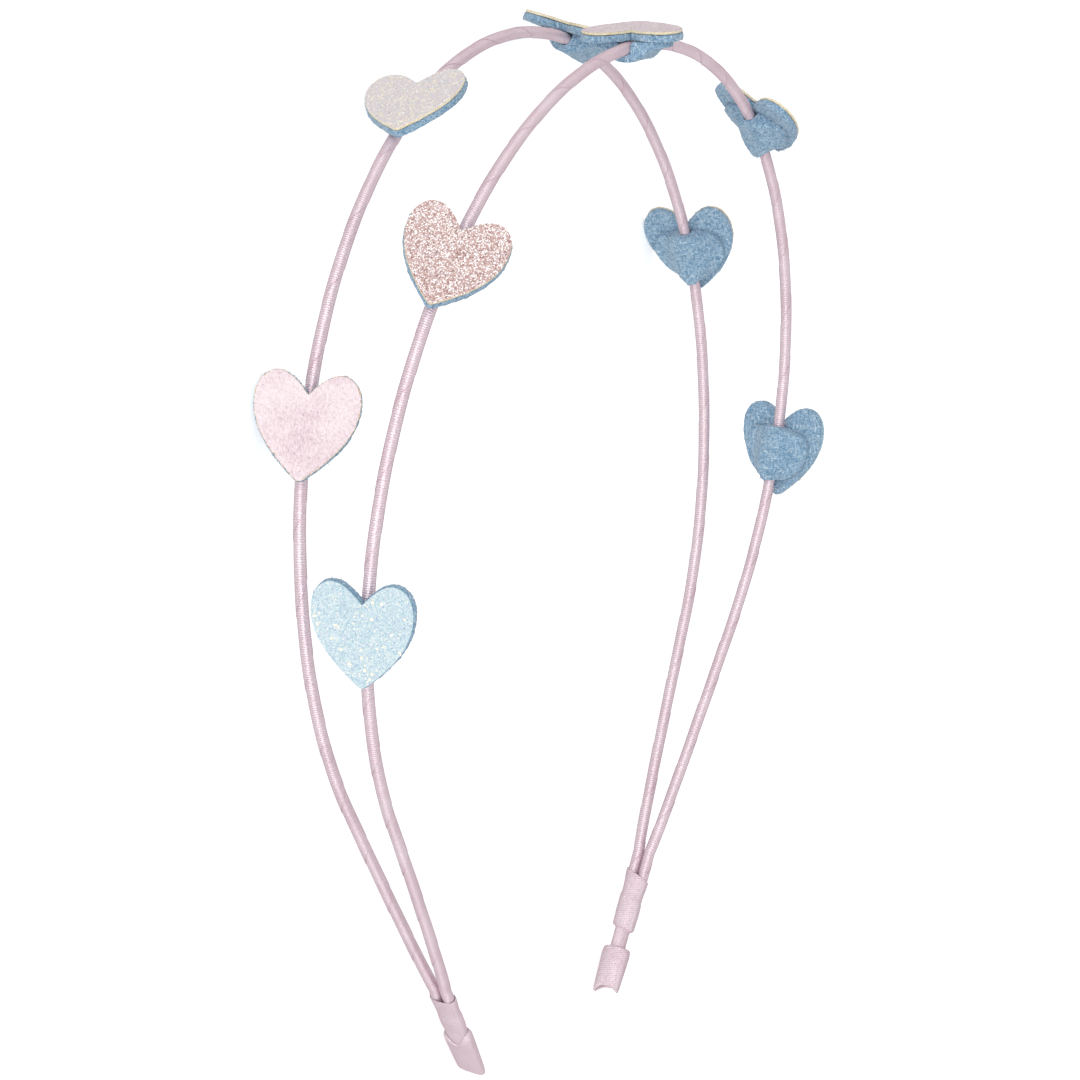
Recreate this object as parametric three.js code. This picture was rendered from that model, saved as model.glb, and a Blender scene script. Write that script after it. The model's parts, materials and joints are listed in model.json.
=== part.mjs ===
// Double-band headband with nine felt hearts, lying on its side.
// It is built as worn, x to the side, y to the back, z up to the crown, and then laid on its back rod.
import * as THREE from 'three';
import { mergeVertices } from 'three/addons/utils/BufferGeometryUtils.js';

// Driving sizes in millimetres and degrees
const hoopRadius = 65.8;        // round part of the arch
const hoopAngle = 123;          // from the crown to the start of each straight leg
const legLength = 57.8;         // straight leg down to the tip
const crownSpread = 19.9;       // between the two rods at the crown
const joinHeight = 16;          // above the tips, where the rods come together
const spreadPower = 0.8;        // how early the rods part above the join
const rodDiameter = 1.8;        // ribbon-wound wire
const joinPitch = 1.9;          // between the rods' centres below the join
const boundDiameter = 1.2;      // wire inside the binding, where the winding stops
const boundPitch = 1.32;
const taperLength = 5;          // the winding thins out over this length at the binding's mouth
const heartWidth = 14.6;
const feltThickness = 1.0;
const faceThickness = 1.0;
const layerGap = 0.08;
const rodGap = 0.12;            // between a rod and the felt on it
const faceInset = 0.1;          // the face is cut this much inside the felt
const patchThickness = 1.0;
const crestGap = 0.2;           // between a rod and the patch humped over it
const crestRise = 0.7;          // the patch's top edge stands this much higher over the rod
const crestFade = 3;            // and is level again this far down
const humpHalf = 4.6;           // from the rod's centre to where the patch lies flat on the felt
const humpTop = 0.2;            // share of that half which the hump's round top takes
const lieTilt = 6.33;           // the lower back hearts prop the crown end this far
const lieSide = -0.55;          // and one of them a little more than the other

const rodSides = 10;
const rodStep = 4.6;
const windingSides = 14;

// One row for each rod: its side of the head and how wide it is bowed
const rods = {
  back: { side: 1, bow: 0.975, name: 'rod_back' },
  front: { side: -1, bow: 1.025, name: 'rod_front' },
};

// One row for each tip, measured up the leg from its foot
const tips = {
  left: {
    hand: -1, mouth: 17.0, rodEnd: 10.9, neck: 10.2, foot: 7.9, tabTop: 9.2, tabEnd: -1.0, slant: 0.5, dip: 0.5,
  },
  right: {
    hand: 1, mouth: 15.0, rodEnd: 7.4, neck: 6.4, foot: 2.0, tabTop: 3.0, tabEnd: -4.4, slant: 0.1, dip: 0.9,
  },
};

// One row for each heart, named for its rod and its side. along: from the crown along the rod, toward the tip
// that it points to; lean: turned in its own plane; roll: turned about the rod; reach: how much of the
// patch's length is left; rise: how far the patch is set up the rod
const hearts = [
  { place: 'front_left_low', along: -105.7, lean: -3, roll: 11, reach: 0.88, rise: 0, face: 'blueGlitter' },
  { place: 'back_left_low', along: -78, lean: -1, roll: 24.5, reach: 0.88, rise: 0, face: 'pinkSatin' },
  { place: 'front_left_high', along: -54.5, lean: -1, roll: 26, reach: 0.8, rise: 0, face: 'roseGlitter' },
  { place: 'back_left_high', along: -27.6, lean: -12, roll: -4, reach: 0.58, rise: 0, face: 'whiteGlitter' },
  { place: 'front_crown', along: 0.3, lean: 20, roll: -3, reach: 0.95, rise: 2.2, face: 'pinkSatin' },
  { place: 'back_right_high', along: 18.6, lean: 3, roll: 9, reach: 1, rise: 0, face: 'whiteGlitter' },
  { place: 'front_right_high', along: 47.9, lean: -5, roll: 17, reach: 1, rise: 0, face: 'roseGlitter' },
  { place: 'back_right_low', along: 74, lean: -1, roll: -7.5, reach: 1, rise: 0, face: 'pinkSatin' },
  { place: 'front_right_low', along: 109.4, lean: -3, roll: 8, reach: 1, rise: 0, face: 'blueGlitter' },
];

// Right half of the heart's outline as shares of its width, from its seat on the rod: three curves,
// each from the last one's end by two pulls to its own end
const heartPoint = [0, -0.778];
const heartCurves = {
  flank: [[0.2535, -0.5845], [0.507, -0.324], [0.5, -0.014]],
  lobe: [[0.5, 0.137], [0.4155, 0.2535], [0.2887, 0.2535]],
  notch: [[0.183, 0.2535], [0.067, 0.134], [0, 0.053]],
};
const heartMiddle = -0.2;       // the face is cut in toward here

// The patch from its top edge down the rod: a rounded piece, given by half widths
const patchRows = [
  { down: 0.3, half: 3.6 },
  { down: 0.8, half: 4.8 },
  { down: 1.9, half: 5.5 },
  { down: 3.4, half: 5.65 },
  { down: 4.9, half: 5.3 },
  { down: 6.3, half: 4.5 },
  { down: 7.5, half: 3.3 },
  { down: 8.3, half: 1.9 },
];
const patchColumns = [-1, -0.8, -0.6, -0.42, -0.26, -0.1, 0.1, 0.26, 0.42, 0.6, 0.8, 1];

const colours = {
  ribbon: { color: 0xdcc3d0, roughness: 0.45, metalness: 0 },
  felt: { color: 0x86a9c4, roughness: 0.95, metalness: 0 },
  blueGlitter: { color: 0xc4e2ef, roughness: 0.4, metalness: 0 },
  roseGlitter: { color: 0xcfaaa6, roughness: 0.4, metalness: 0 },
  whiteGlitter: { color: 0xe0d9dd, roughness: 0.4, metalness: 0 },
  pinkSatin: { color: 0xf0dbde, roughness: 0.6, metalness: 0 },
};
const material = (key) => new THREE.MeshStandardMaterial(colours[key]);
const radians = THREE.MathUtils.degToRad;
const { lerp, smoothstep } = THREE.MathUtils;

// The arch of one rod, with its own arc length counted from the crown
class RodCurve extends THREE.Curve {
  constructor(row) {
    super();
    this.row = row;
    this.arc = hoopRadius * radians(hoopAngle);
    this.half = this.arc + legLength;
    this.height = hoopRadius * (1 - Math.cos(radians(hoopAngle))) + legLength * Math.sin(radians(hoopAngle));
    this.arcLengthDivisions = 1600;
  }

  getPoint(t, target = new THREE.Vector3()) {
    const s = (2 * t - 1) * this.half;
    const bent = Math.min(Math.abs(s), this.arc) / hoopRadius;
    const straight = Math.max(Math.abs(s) - this.arc, 0);
    const across = hoopRadius * Math.sin(bent) + straight * Math.cos(radians(hoopAngle));
    const below = hoopRadius * (1 - Math.cos(bent)) + straight * Math.sin(radians(hoopAngle));
    const up = this.height - below;
    const rise = THREE.MathUtils.clamp((up - joinHeight) / (this.height - joinHeight), 0, 1);
    const bow = lerp(1, this.row.bow, Math.min(2 * rise, 1));
    const apart = lerp(joinPitch / 2, crownSpread / 2, Math.pow(rise, spreadPower));
    return target.set(Math.sign(s) * across * bow, this.row.side * apart, up);
  }

  // Point and tangent at a length from the crown, negative to the left
  at(along) {
    const t = THREE.MathUtils.clamp(0.5 + along / this.getLength(), 0, 1);
    return { point: this.getPointAt(t), tangent: this.getTangentAt(t) };
  }
}

// A closed body through rings of points. A loop joins the last ring to the first, otherwise the ends are capped.
function loft(rings, loop = false) {
  const count = rings[0].length;
  const position = rings.flat().flatMap((p) => [p.x, p.y, p.z]);
  const index = [];
  const spans = loop ? rings.length : rings.length - 1;
  for (let i = 0; i < spans; i++) {
    const a = i * count;
    const b = ((i + 1) % rings.length) * count;
    for (let j = 0; j < count; j++) {
      const k = (j + 1) % count;
      index.push(a + j, a + k, b + k, a + j, b + k, b + j);
    }
  }
  if (!loop) {
    const cap = (ring, first, flip) => {
      const middle = ring.reduce((sum, p) => sum.add(p), new THREE.Vector3()).divideScalar(count);
      const centre = position.length / 3;
      position.push(middle.x, middle.y, middle.z);
      for (let j = 0; j < count; j++) {
        const k = (j + 1) % count;
        index.push(...(flip ? [centre, first + k, first + j] : [centre, first + j, first + k]));
      }
    };
    cap(rings[0], 0, true);
    cap(rings.at(-1), (rings.length - 1) * count, false);
  }
  const geometry = new THREE.BufferGeometry();
  geometry.setAttribute('position', new THREE.Float32BufferAttribute(position, 3));
  geometry.setIndex(index);
  geometry.computeVertexNormals();
  return geometry;
}

// A closed sheet between two grids of points
function sheet(rows, columns, front, back) {
  const position = [];
  const index = [];
  for (const side of [front, back]) {
    for (let r = 0; r < rows; r++) {
      for (let c = 0; c < columns; c++) {
        position.push(...side(r, c).toArray());
      }
    }
  }
  const under = rows * columns;
  const id = (r, c) => r * columns + c;
  for (let r = 0; r < rows - 1; r++) {
    for (let c = 0; c < columns - 1; c++) {
      const [a, b, d, e] = [id(r, c), id(r, c + 1), id(r + 1, c + 1), id(r + 1, c)];
      index.push(a, e, d, a, d, b);
      index.push(under + a, under + d, under + e, under + a, under + b, under + d);
    }
  }
  const rim = (a, b) => index.push(a, b, under + b, a, under + b, under + a);
  for (let c = 0; c < columns - 1; c++) {
    rim(id(0, c), id(0, c + 1));
    rim(id(rows - 1, c + 1), id(rows - 1, c));
  }
  for (let r = 0; r < rows - 1; r++) {
    rim(id(r + 1, 0), id(r, 0));
    rim(id(r, columns - 1), id(r + 1, columns - 1));
  }
  const geometry = new THREE.BufferGeometry();
  geometry.setAttribute('position', new THREE.Float32BufferAttribute(position, 3));
  geometry.setIndex(index);
  geometry.computeVertexNormals();
  return geometry;
}

function mesh(name, geometry, colour) {
  const made = new THREE.Mesh(geometry, material(colour));
  made.name = name;
  return made;
}

// A rod: full winding over the arch, thinned to the bare wire where the binding takes both ends
function makeRod(row, curve) {
  const length = curve.getLength();
  const from = -length / 2 + tips.left.rodEnd;
  const to = length / 2 - tips.right.rodEnd;
  const steps = Math.round((to - from) / rodStep);
  const ends = [tips.left.mouth - length / 2, length / 2 - tips.right.mouth];
  const rings = [];
  for (let i = 0; i <= steps; i++) {
    const along = lerp(from, to, i / steps);
    const { point, tangent } = curve.at(along);
    const inside = Math.max(ends[0] - along, along - ends[1]);
    const thin = smoothstep(inside, -taperLength / 2, taperLength / 2);
    const radius = lerp(rodDiameter, boundDiameter, thin) / 2;
    point.y += row.side * thin * (boundPitch - joinPitch) / 2;
    const across = new THREE.Vector3(0, 1, 0).addScaledVector(tangent, -tangent.y).normalize();
    const out = new THREE.Vector3().crossVectors(tangent, across);
    const ring = [];
    for (let j = 0; j < rodSides; j++) {
      const turn = (2 * Math.PI * (j + 0.5)) / rodSides;
      ring.push(point.clone()
        .addScaledVector(across, radius * Math.cos(turn))
        .addScaledVector(out, radius * Math.sin(turn)));
    }
    rings.push(ring);
  }
  return mesh(row.name, loft(rings), 'ribbon');
}

// An oval ring across a leg, wide along y, at a height up the leg
function legRing({ up, half, deep, lift = () => 0 }) {
  const ring = [];
  for (let j = 0; j < windingSides; j++) {
    const turn = (-2 * Math.PI * j) / windingSides;
    const wide = Math.cos(turn);
    ring.push(new THREE.Vector3(deep * Math.sin(turn), half * wide, up + lift(wide)));
  }
  return ring;
}

// The binding: ribbon wound over both rod ends, open above, ending in a narrow neck
function makeBinding(name, tip) {
  const { mouth, rodEnd, neck, foot } = tip;
  const outer = [
    { up: foot, half: 1.25, deep: 0.9 },
    { up: neck - 0.7, half: 1.28, deep: 0.95 },
    { up: neck, half: 1.75, deep: 1.2 },
    { up: mouth - 3, half: 1.85, deep: 1.22 },
    { up: mouth - 0.6, half: 2.05, deep: 1.3 },
    { up: mouth, half: 1.98, deep: 1.24 },
  ];
  const inner = [
    { up: mouth, half: 1.75, deep: 0.98 },
    { up: mouth - 2.5, half: 1.5, deep: 0.86 },
    { up: rodEnd - 0.3, half: 1.44, deep: 0.8 },
  ];
  return mesh(name, loft([...outer, ...inner].map(legRing)), 'ribbon');
}

// The tab: the ribbon's folded end, a flattened tube pulled over the neck, cut hollow at its foot
function makeTab(name, tip) {
  const { tabTop, tabEnd, slant, dip } = tip;
  const lift = (wide) => dip * (1 - wide * wide) + slant * wide;
  const outer = [
    { up: tabEnd, half: 2.05, deep: 1.0, lift },
    { up: tabEnd + 1.4, half: 2.15, deep: 1.2 },
    { up: tabTop - 1.4, half: 2.3, deep: 1.4 },
    { up: tabTop - 0.4, half: 2.15, deep: 1.5 },
    { up: tabTop, half: 1.75, deep: 1.4 },
  ];
  const inner = [
    { up: tabTop, half: 1.45, deep: 1.1 },
    { up: tabTop - 1.5, half: 1.45, deep: 1.1 },
    { up: tabEnd + 1.4, half: 1.35, deep: 0.5 },
    { up: tabEnd, half: 1.3, deep: 0.4, lift },
  ];
  return mesh(name, loft([...outer, ...inner].map(legRing), true), 'ribbon');
}

// Heart outline with its lobes up the v axis, cut in by an even margin
function heartShape(margin = 0) {
  const size = heartWidth - 2 * margin;
  const middle = heartMiddle * heartWidth;
  const place = ([x, y], hand) => [hand * x * size, middle + (y - heartMiddle) * size];
  const { flank, lobe, notch } = heartCurves;
  const shape = new THREE.Shape();
  shape.moveTo(...place(heartPoint, 1));
  for (const curve of [flank, lobe, notch]) {
    shape.bezierCurveTo(...curve.flatMap((pull) => place(pull, 1)));
  }
  const back = [
    [notch[1], notch[0], lobe[2]],
    [lobe[1], lobe[0], flank[2]],
    [flank[1], flank[0], heartPoint],
  ];
  for (const curve of back) {
    shape.bezierCurveTo(...curve.flatMap((pull) => place(pull, -1)));
  }
  return shape;
}

function layer(name, thickness, height, margin, colour) {
  const cut = { depth: thickness, bevelEnabled: false, curveSegments: 9 };
  let geometry = new THREE.ExtrudeGeometry(heartShape(margin), cut);
  geometry.deleteAttribute('normal');
  geometry.deleteAttribute('uv');
  geometry = mergeVertices(geometry, 1e-4);
  geometry.computeVertexNormals();
  const made = mesh(name, geometry, colour);
  made.position.z = height;
  return made;
}

// The patch: flat on the felt at both sides, humped over the rod and following its bend
function makePatch(name, { reach, rise }) {
  const flat = rodDiameter / 2 + rodGap - layerGap;
  const crest = -(rodDiameter / 2 + crestGap);
  const place = (depth) => (r, c) => {
    const { down, half } = patchRows[r];
    const u = patchColumns[c] * half;
    const foot = Math.min(humpHalf, half);
    const lift = 1 - smoothstep(Math.abs(u), humpTop * foot, foot);
    const raised = crestRise * lift * Math.max(0, 1 - down / crestFade);
    const v = rise + raised - lerp(patchRows[0].down, down, reach);
    const sag = (v * v) / (2 * hoopRadius);
    return new THREE.Vector3(u, v, lerp(flat, crest - sag, lift) - depth);
  };
  return mesh(name, sheet(patchRows.length, patchColumns.length, place(0), place(patchThickness)), 'felt');
}

// A seat on the rod, with its z axis out of the head and its y axis up the rod
function seatOn(curve, { along, roll }) {
  const { point, tangent } = curve.at(along);
  const toward = Math.sign(along);
  const down = tangent.clone().multiplyScalar(toward);
  const back = new THREE.Vector3(0, 1, 0).addScaledVector(down, -down.y).normalize();
  const out = new THREE.Vector3().crossVectors(back, down).multiplyScalar(-toward);
  const turn = radians(roll);
  const across = back.clone().multiplyScalar(Math.cos(turn)).addScaledVector(out, Math.sin(turn));
  const normal = out.clone().multiplyScalar(Math.cos(turn)).addScaledVector(back, -Math.sin(turn));
  const seat = new THREE.Group();
  const basis = new THREE.Matrix4().makeBasis(across.multiplyScalar(toward), down.negate(), normal);
  seat.position.copy(point);
  seat.quaternion.setFromRotationMatrix(basis);
  return seat;
}

const worn = new THREE.Group();
const curves = {};
for (const [key, row] of Object.entries(rods)) {
  curves[key] = new RodCurve(row);
  worn.add(makeRod(row, curves[key]));
}

for (const [key, tip] of Object.entries(tips)) {
  const leg = new THREE.Group();
  leg.position.copy(new RodCurve({ side: 0, bow: 1 }).getPoint(tip.hand < 0 ? 0 : 1));
  leg.rotation.y = tip.hand * radians(hoopAngle - 90);
  leg.add(makeBinding(`binding_${key}`, tip), makeTab(`end_tab_${key}`, tip));
  worn.add(leg);
}

for (const heart of hearts) {
  const [rod] = heart.place.split('_');
  const seat = seatOn(curves[rod], heart);
  const plate = new THREE.Group();
  const feltBack = rodDiameter / 2 + rodGap;
  const faceBack = feltBack + feltThickness + layerGap;
  plate.rotation.z = Math.sign(heart.along) * radians(heart.lean);
  plate.add(
    layer(`heart_felt_${heart.place}`, feltThickness, feltBack, 0, 'felt'),
    layer(`heart_face_${heart.place}`, faceThickness, faceBack, faceInset, heart.face),
  );
  seat.add(plate, makePatch(`heart_patch_${heart.place}`, heart));
  worn.add(seat);
}

// Laid down on the back rod's side and set with its foot at the origin
worn.rotation.x = radians(lieTilt - 90);
const laid = new THREE.Group();
laid.rotation.y = radians(lieSide);
laid.add(worn);
const headband = new THREE.Group();
headband.add(laid);
headband.updateMatrixWorld(true);
const box = new THREE.Box3().setFromObject(headband, true);
const middle = box.getCenter(new THREE.Vector3());
laid.position.set(-middle.x, -middle.y, -box.min.z);
headband.updateMatrixWorld(true);

export default headband;
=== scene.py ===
import json
import math

import bpy
import numpy as np
from mathutils import Matrix, Vector


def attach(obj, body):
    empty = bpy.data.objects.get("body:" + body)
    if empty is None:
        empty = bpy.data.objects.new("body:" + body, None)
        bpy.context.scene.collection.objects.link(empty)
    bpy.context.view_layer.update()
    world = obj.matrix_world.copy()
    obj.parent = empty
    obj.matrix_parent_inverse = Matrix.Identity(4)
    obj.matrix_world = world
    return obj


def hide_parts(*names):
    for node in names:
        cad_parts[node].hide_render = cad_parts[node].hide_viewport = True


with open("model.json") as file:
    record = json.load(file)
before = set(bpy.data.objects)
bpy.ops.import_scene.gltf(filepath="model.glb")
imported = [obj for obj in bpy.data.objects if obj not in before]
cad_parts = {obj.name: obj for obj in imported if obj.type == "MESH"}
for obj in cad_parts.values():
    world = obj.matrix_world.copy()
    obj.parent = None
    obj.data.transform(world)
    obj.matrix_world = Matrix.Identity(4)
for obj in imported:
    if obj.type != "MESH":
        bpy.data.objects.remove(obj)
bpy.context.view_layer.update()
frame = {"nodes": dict(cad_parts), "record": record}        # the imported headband, which stays as it is
scene = bpy.context.scene
mm = 0.001
fullTurn = 2 * math.pi
print("frame loaded, nodes:", len(frame["nodes"]))

# The arch as it is worn, in mm: x to the side, y to the back, z up from the tips
arch = {
    "hoopRadius": 65.8,
    "hoopAngle": 123,        # degrees from the crown to the start of each leg
    "legLength": 57.8,
    "crownSpread": 19.9,
    "joinHeight": 16,        # the rods come together here
    "spreadPower": 0.8,
    "joinPitch": 1.9,
    "seatHeight": 150,       # where the record's head seat is
    "lieTilt": 6.33,         # degrees that the lower back hearts prop the crown end
    "lieSide": -0.55,
}
hoopTurn = math.radians(arch["hoopAngle"])
hoopArc = arch["hoopRadius"] * hoopTurn
halfLine = hoopArc + arch["legLength"]        # from the crown to a tip
archHeight = arch["hoopRadius"] * (1 - math.cos(hoopTurn)) + arch["legLength"] * math.sin(hoopTurn)

# From worn millimetres to the frame's metres
seat = next(m for m in frame["record"]["mounts"] if m["name"] == "head_seat")
layTurn = (Matrix.Rotation(math.radians(arch["lieSide"]), 4, "Y")
           @ Matrix.Rotation(math.radians(arch["lieTilt"] - 90), 4, "X"))
lay = (Matrix.Translation(Vector(seat["pos_m"])) @ layTurn
       @ Matrix.Scale(mm, 4) @ Matrix.Translation((0, 0, -arch["seatHeight"])))


def placed(points, matrix):
    turn = np.array(matrix)
    return np.asarray(points) @ turn[:3, :3].T + turn[:3, 3]


def unit(vector):
    return vector / np.linalg.norm(vector)


def smooth(value, low, high):
    t = np.clip((value - low) / (high - low), 0, 1)
    return t * t * (3 - 2 * t)


def runAlong(line):
    return np.concatenate([[0], np.cumsum(np.linalg.norm(np.diff(line, axis=0), axis=1))])


def paint(red, green, blue):
    # from a screen's levels to linear light
    share = np.array([red, green, blue]) / 255
    linear = np.where(share > 0.04045, ((share + 0.055) / 1.055) ** 2.4, share / 12.92)
    return (*linear.tolist(), 1.0)


def wave(x, y, seed, octaves=4, finer=1.7, fainter=1.25):
    # a smooth wander between about -1 and 1, the same on every run
    rng = np.random.default_rng(seed)
    total = 0
    for k in range(octaves):
        angle, phase = rng.uniform(0, fullTurn, 2)
        across = x * math.cos(angle) + y * math.sin(angle)
        total = total + np.sin(finer ** k * across + phase) / fainter ** k
    return total / 2


# Meshes

def tidyShade(mesh, smoothAngle=50):
    mesh.shade_smooth()
    mesh.set_sharp_from_angle(angle=math.radians(smoothAngle))


def meshFrom(name, points, faces, smoothAngle=50):
    mesh = bpy.data.meshes.new(name)
    mesh.from_pydata(np.asarray(points).tolist(), [], [list(f) for f in faces])
    mesh.validate()
    tidyShade(mesh, smoothAngle)
    return mesh


def signedVolume(mesh):
    mesh.calc_loop_triangles()
    points = np.array([v.co for v in mesh.vertices])
    corners = points[np.array([t.vertices for t in mesh.loop_triangles])]
    return np.einsum("ij,ij->i", corners[:, 0], np.cross(corners[:, 1], corners[:, 2])).sum() / 6


def outward(mesh):
    if signedVolume(mesh) < 0:
        mesh.flip_normals()


def newObject(name, data):
    made = bpy.data.objects.new(name, data)
    scene.collection.objects.link(made)
    return made


def gridFaces(rows, columns, closed):
    faces = []
    for low in range(0, (rows - 1) * columns, columns):
        high = low + columns
        for c in range(columns if closed else columns - 1):
            d = (c + 1) % columns
            faces.append((low + c, low + d, high + d, high + c))
    return faces


def fanFaces(middle, first, columns):
    # closes a ring round its middle point; the fan on the first ring looks the other way
    sides = [(first + c, first + (c + 1) % columns) for c in range(columns)]
    return [(middle, *(side if first else side[::-1])) for side in sides]


def pointValue(mesh, name, values):
    layer = mesh.attributes.new(name, "FLOAT", "POINT")
    layer.data.foreach_set("value", np.asarray(values, np.float32))


# Node trees

def feed(tree, node, inputs):
    for key, value in inputs.items():
        socket = node.inputs[key]
        if isinstance(value, bpy.types.NodeSocket):
            tree.links.new(value, socket)
        else:
            socket.default_value = value


def put(tree, kind, inputs=None, **settings):
    node = tree.nodes.new(kind)
    for key, value in settings.items():
        setattr(node, key, value)
    feed(tree, node, inputs or {})
    return node


def calc(tree, operation, *values):
    return put(tree, "ShaderNodeMath", dict(enumerate(values)), operation=operation).outputs[0]


def triple(tree, *values):
    return put(tree, "ShaderNodeCombineXYZ", dict(enumerate(values))).outputs[0]


def newTree(name, floats, whole, materials):
    tree = bpy.data.node_groups.new(name, "GeometryNodeTree")
    tree.interface.new_socket("Geometry", in_out="INPUT", socket_type="NodeSocketGeometry")
    for kind, labels in (("Float", floats), ("Int", [whole]), ("Material", materials)):
        for label in labels:
            tree.interface.new_socket(label, in_out="INPUT", socket_type="NodeSocket" + kind)
    tree.interface.new_socket("Geometry", in_out="OUTPUT", socket_type="NodeSocketGeometry")
    given = tree.nodes.new("NodeGroupInput")
    made = tree.nodes.new("NodeGroupOutput")
    return tree, {s.name: s for s in given.outputs if s.name}, made


def runTree(source, tree, values, name):
    modifier = source.modifiers.new(tree.name, "NODES")
    modifier.node_group = tree
    for item in tree.interface.items_tree:
        if item.item_type == "SOCKET" and item.in_out == "INPUT" and item.name in values:
            modifier[item.identifier] = values[item.name]
    source.update_tag()
    bpy.context.view_layer.update()
    depsgraph = bpy.context.evaluated_depsgraph_get()
    mesh = bpy.data.meshes.new_from_object(source.evaluated_get(depsgraph),
                                           preserve_all_data_layers=True, depsgraph=depsgraph)
    source.modifiers.remove(modifier)
    bpy.data.objects.remove(source)
    mesh.name = name
    return newObject(name, mesh)


def randomSpan(tree, low, high, seed, kind="FLOAT"):
    first = {"FLOAT_VECTOR": 0, "FLOAT": 2}[kind]        # where the node keeps each kind's limits
    node = put(tree, "FunctionNodeRandomValue", {first: low, first + 1: high, "Seed": seed}, data_type=kind)
    return node.outputs[first // 2]


def geo(tree, kind, inputs=None, **settings):
    return put(tree, "GeometryNode" + kind, inputs, **settings).outputs[0]


def marked(tree, name):
    return geo(tree, "InputNamedAttribute", {"Name": name}, data_type="FLOAT")


def withMark(tree, geometry, name, value, kind="FLOAT", domain="POINT"):
    return geo(tree, "StoreNamedAttribute", {"Geometry": geometry, "Name": name, "Value": value},
               data_type=kind, domain=domain)


# Finishes

def newMaterial(name):
    material = bpy.data.materials.new(name)
    material.use_nodes = True
    tree = material.node_tree
    return material, tree, tree.nodes["Principled BSDF"]


def ownPlace(tree):
    return put(tree, "ShaderNodeTexCoord").outputs["Object"]


def fromMesh(tree, name, output="Fac"):
    return put(tree, "ShaderNodeAttribute", attribute_name=name).outputs[output]


def rescaled(tree, value, low, high, start=0.0, end=1.0):
    return put(tree, "ShaderNodeMapRange", {
        "Value": value, "From Min": low, "From Max": high, "To Min": start, "To Max": end}).outputs["Result"]


def tones(tree, factor, stops, constant=False):
    ramp = put(tree, "ShaderNodeValToRGB", {"Fac": factor})
    if constant:
        ramp.color_ramp.interpolation = "CONSTANT"
    marks = ramp.color_ramp.elements
    while len(marks) < len(stops):
        marks.new(1.0)
    for mark, (place, colour) in zip(marks, stops):
        mark.position = place
        mark.color = paint(*colour)
    return ramp.outputs["Color"]


def blended(tree, factor, first, second):
    return put(tree, "ShaderNodeMix", {0: factor, 6: first, 7: second}, data_type="RGBA").outputs[2]


def speckle(tree, coordinates, scale, detail=3, roughness=0.6):
    return put(tree, "ShaderNodeTexNoise", {
        "Vector": coordinates, "Scale": scale, "Detail": detail, "Roughness": roughness}).outputs["Fac"]


def drawnNoise(tree, coordinates, stretch, turn=(0, 0, 0), detail=3, roughness=0.5, distortion=0.0):
    # noise that changes at its own rate along each axis, so that it is drawn out into threads
    lined = put(tree, "ShaderNodeMapping", {"Vector": coordinates, "Rotation": turn, "Scale": stretch})
    return put(tree, "ShaderNodeTexNoise", {
        "Vector": lined.outputs["Vector"], "Scale": 1.0, "Detail": detail, "Roughness": roughness,
        "Distortion": distortion}).outputs["Fac"]


def sineWave(tree, value, rate, shift):
    course = calc(tree, "MULTIPLY_ADD", value, rate, shift)
    return calc(tree, "SINE", calc(tree, "MULTIPLY", course, fullTurn))


def bumped(tree, height, look):
    return put(tree, "ShaderNodeBump", {
        "Height": height, "Strength": look["bump"], "Distance": look["depth"]}).outputs["Normal"]


def ribbonSatin(name, look):
    material, tree, shader = newMaterial(name)
    wind = put(tree, "ShaderNodeUVMap", uv_map="wind").outputs["UV"]
    split = put(tree, "ShaderNodeSeparateXYZ", {0: wind})
    along, around = split.outputs["X"], split.outputs["Y"]
    here = ownPlace(tree)
    # cross threads that wander a little, so that the ribs aren't ruled lines
    drift = calc(tree, "MULTIPLY", speckle(tree, here, look["driftScale"], 2), look["drift"])
    rib = sineWave(tree, along, 1 / look["ribPitch"], drift)
    if "dots" in look:
        # wider ribbon shows its weave as dots
        rib = calc(tree, "MULTIPLY", rib, sineWave(tree, around, look["dots"], drift))
    strand = drawnNoise(tree, wind, look["strandStretch"])
    colour = tones(tree, speckle(tree, here, look["cloudScale"]), look["tones"])
    # painted shade: the grooves between the cross ribs are darkened toward the groove colour
    paintedGrooveShade = rescaled(tree, rib, *look["paintedGrooveSpan"], end=look["shade"])
    colour = blended(tree, paintedGrooveShade, colour, paint(*look["groove"]))
    # painted sheen: paler streaks along the threads, laid where the drawn noise is high
    paintedThreadSheen = rescaled(tree, strand, *look["paintedSheenSpan"], end=look["paintedSheenShare"])
    colour = blended(tree, paintedThreadSheen, colour, paint(*look["thread"]))
    # painted shade: the ribbon is darker beside the edge that laps it, where that edge's step would shade it
    edge = rescaled(tree, around, 0.0, look["seamWidth"], look["seamShade"], 0.0)
    colour = blended(tree, edge, colour, paint(*look["paintedLapShade"]))
    relief = calc(tree, "ADD", calc(tree, "MULTIPLY", rib, look["ribShare"]), strand)
    # threads that run round the wire draw the shine out along it
    feed(tree, shader, {
        "Base Color": colour, "Normal": bumped(tree, relief, look), "Roughness": look["roughness"],
        "Tangent": fromMesh(tree, "axis", "Vector"), "Anisotropic": look["drawn"], "Metallic": look["metal"],
        "Specular IOR Level": look["specular"], "Specular Tint": (*look["tint"], 1)})
    return material


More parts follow.
